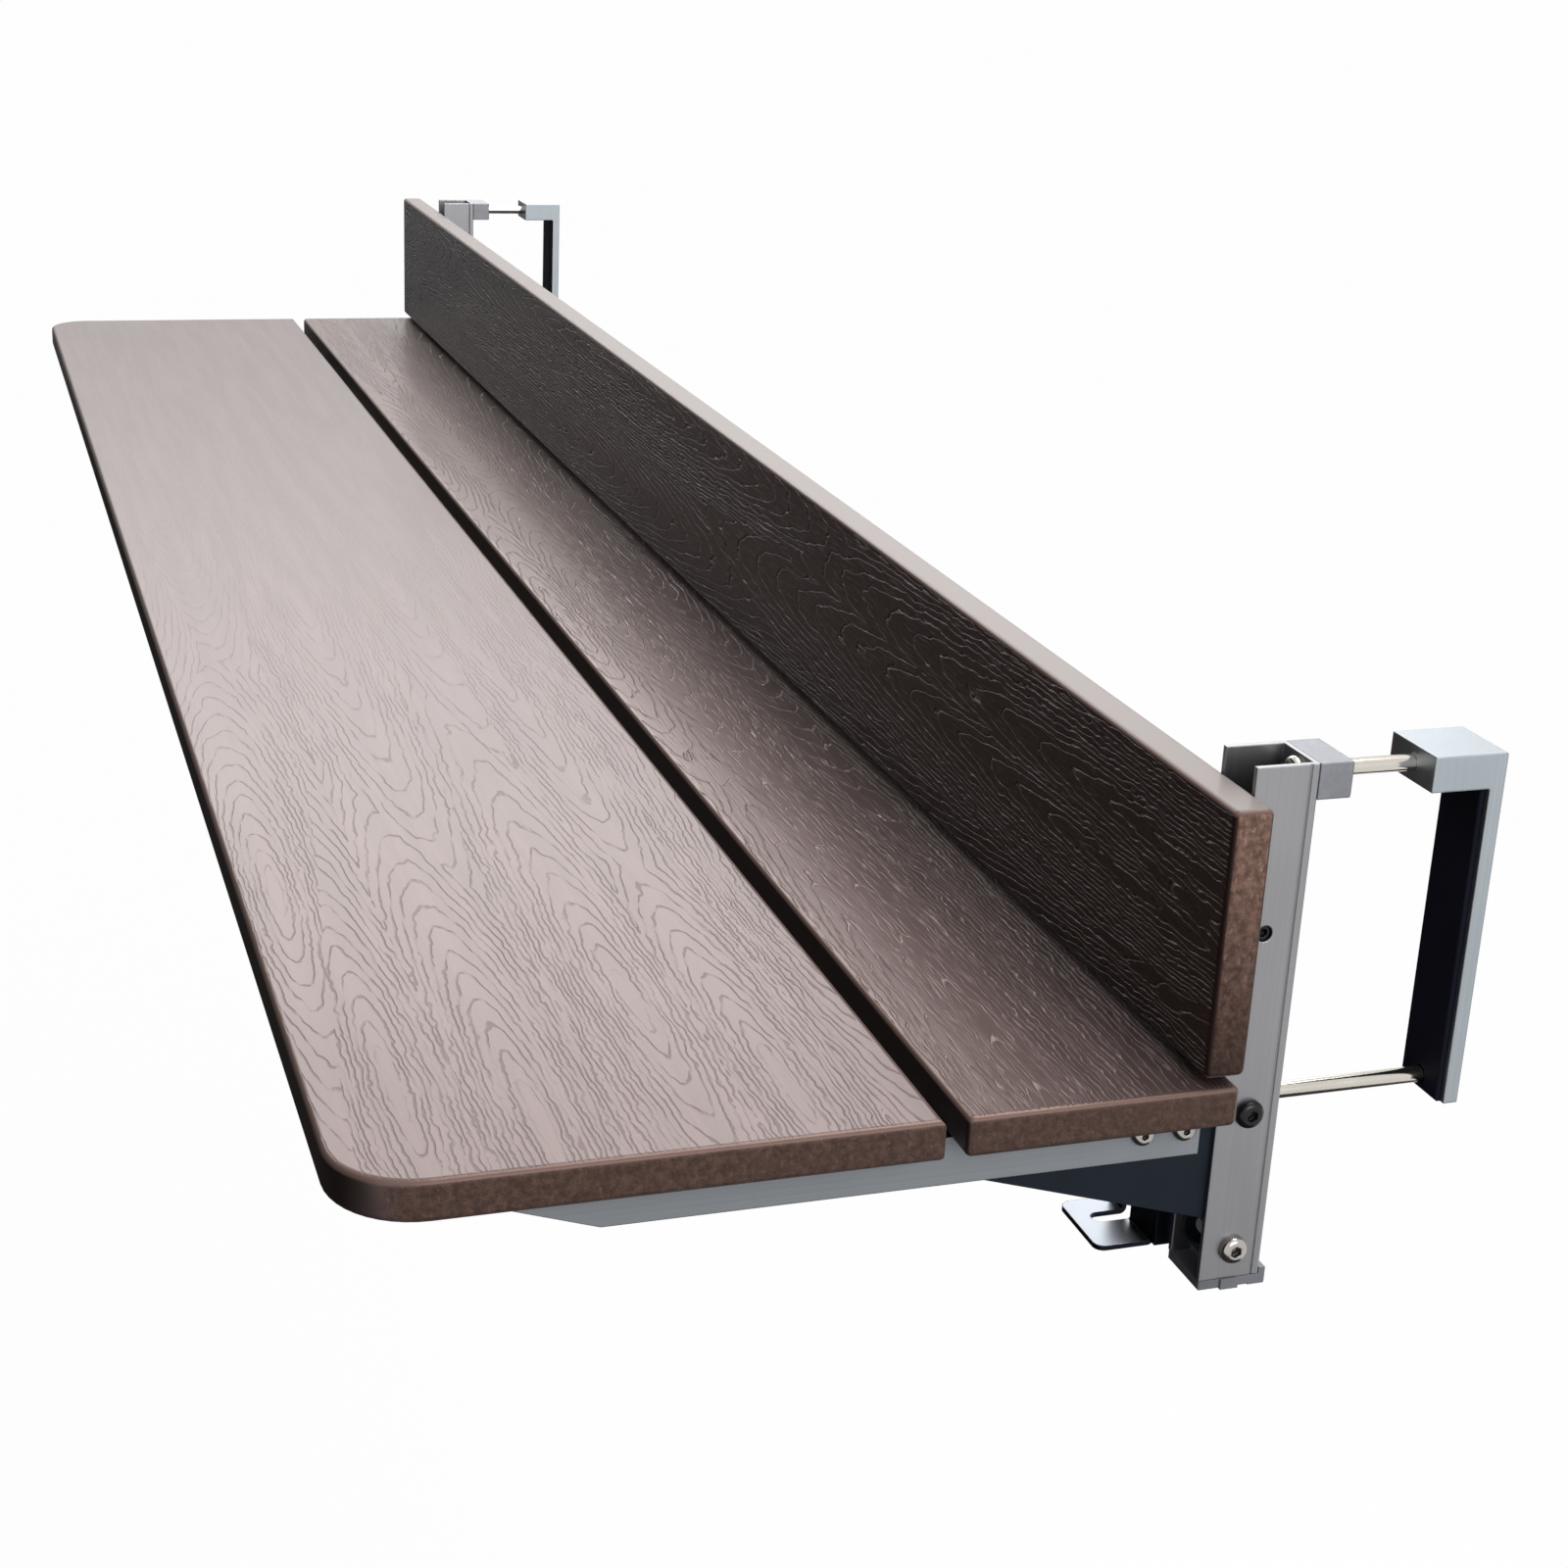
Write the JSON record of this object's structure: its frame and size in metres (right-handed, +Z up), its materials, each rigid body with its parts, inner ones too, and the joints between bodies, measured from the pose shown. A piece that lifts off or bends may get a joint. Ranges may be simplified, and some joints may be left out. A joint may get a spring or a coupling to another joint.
{
  "type": "folding balcony table",
  "caption": "Balcony bar table that clamps over a hand rail on two posts with screw-drawn hooks; its plank shelf folds down in front of the posts, below a fixed backboard.",
  "frame": {"origin": "mid-length of the boards, on the posts' back face, level with the top of the hand rail", "axes": "+X along the boards to the right-hand end, +Y to the back through the rail, +Z up"},
  "size_m": [1.5, 0.4045, 0.199],
  "materials": {
    "board_wood": "wood-plastic board, embossed grain, satin top",
    "post_aluminium": "satin anodised",
    "guide_aluminium": "satin anodised",
    "hook_aluminium": "bright satin",
    "arm_aluminium": "satin anodised",
    "pad_rubber": "matt lining",
    "stainless": "polished stainless",
    "black_steel": "black powder coat",
    "black_bolt": "black oxide",
    "anchor_steel": "bright pressed steel",
    "cap_plastic": "moulded",
    "cleat_plastic": "moulded",
    "bush_nylon": "moulded"
  },
  "bodies": {
    "rail_frame": {"backboard": "board_wood", "right_post": "post_aluminium", "right_post_end_cap": "cap_plastic", "right_rod_guide_block": "guide_aluminium", "right_pivot_bolt": "stainless", "right_pivot_nut": "stainless", "right_lock_nut": "stainless", "right_lock_spacer": "stainless", "right_anchor_bracket": "anchor_steel", "right_backboard_cleat": "cleat_plastic", "right_cleat_screw": "black_bolt", "right_backboard_screws": "stainless", "left_post": "post_aluminium", "left_post_end_cap": "cap_plastic", "left_rod_guide_block": "guide_aluminium", "left_pivot_bolt": "stainless", "left_pivot_nut": "stainless", "left_lock_nut": "stainless", "left_lock_spacer": "stainless", "left_anchor_bracket": "anchor_steel", "left_backboard_cleat": "cleat_plastic", "left_cleat_screw": "black_bolt", "left_backboard_screws": "stainless"},
    "shelf": {"front_plank": "board_wood", "rear_plank": "board_wood", "right_arm": "arm_aluminium", "right_hinge_bracket": "black_steel", "right_pivot_bush": "bush_nylon", "right_arm_bolts": "stainless", "right_plank_screws": "stainless", "left_arm": "arm_aluminium", "left_hinge_bracket": "black_steel", "left_pivot_bush": "bush_nylon", "left_arm_bolts": "stainless", "left_plank_screws": "stainless"},
    "right_hook": {"right_hook_bracket": "hook_aluminium", "right_hook_pad": "pad_rubber"},
    "right_lock_screw": {"right_lock_bolt": "black_bolt"},
    "right_upper_clamp_screw": {"right_upper_tie_rod": "stainless"},
    "right_lower_clamp_screw": {"right_lower_tie_rod": "stainless"},
    "left_hook": {"left_hook_bracket": "hook_aluminium", "left_hook_pad": "pad_rubber"},
    "left_lock_screw": {"left_lock_bolt": "black_bolt"},
    "left_upper_clamp_screw": {"left_upper_tie_rod": "stainless"},
    "left_lower_clamp_screw": {"left_lower_tie_rod": "stainless"}
  },
  "joints": [
    {"name": "shelf_fold", "type": "hinge", "parent": "rail_frame", "child": "shelf", "pos_m": [0, -0.012, -0.17], "axis": [1, 0, 0], "range_deg": [0, 90]},
    {"name": "right_hook_slide", "type": "slide", "parent": "rail_frame", "child": "right_hook", "axis": [0, 1, 0], "range_m": [-0.029, 0]},
    {"name": "right_upper_screw_turn", "type": "hinge", "parent": "rail_frame", "child": "right_upper_clamp_screw", "pos_m": [0.7225, 0, 0.0065], "axis": [0, 1, 0], "range_deg": [0, 10440]},
    {"name": "right_lower_screw_turn", "type": "hinge", "parent": "rail_frame", "child": "right_lower_clamp_screw", "pos_m": [0.7225, 0, -0.115], "axis": [0, 1, 0], "range_deg": [0, 10440]},
    {"name": "right_lock_turn", "type": "hinge", "parent": "rail_frame", "child": "right_lock_screw", "pos_m": [0.7225, -0.012, -0.116], "axis": [1, 0, 0], "continuous": true},
    {"name": "left_hook_slide", "type": "slide", "parent": "rail_frame", "child": "left_hook", "axis": [0, 1, 0], "range_m": [-0.029, 0]},
    {"name": "left_upper_screw_turn", "type": "hinge", "parent": "rail_frame", "child": "left_upper_clamp_screw", "pos_m": [-0.66, 0, 0.0065], "axis": [0, 1, 0], "range_deg": [0, 10440]},
    {"name": "left_lower_screw_turn", "type": "hinge", "parent": "rail_frame", "child": "left_lower_clamp_screw", "pos_m": [-0.66, 0, -0.115], "axis": [0, 1, 0], "range_deg": [0, 10440]},
    {"name": "left_lock_turn", "type": "hinge", "parent": "rail_frame", "child": "left_lock_screw", "pos_m": [-0.66, -0.012, -0.116], "axis": [-1, 0, 0], "continuous": true}
  ],
  "couplings": [
    {"joint": "right_upper_screw_turn", "follows": "right_hook_slide", "rad_per_m": -6283.2},
    {"joint": "right_lower_screw_turn", "follows": "right_hook_slide", "rad_per_m": -6283.2},
    {"joint": "left_upper_screw_turn", "follows": "left_hook_slide", "rad_per_m": -6283.2},
    {"joint": "left_lower_screw_turn", "follows": "left_hook_slide", "rad_per_m": -6283.2}
  ]
}
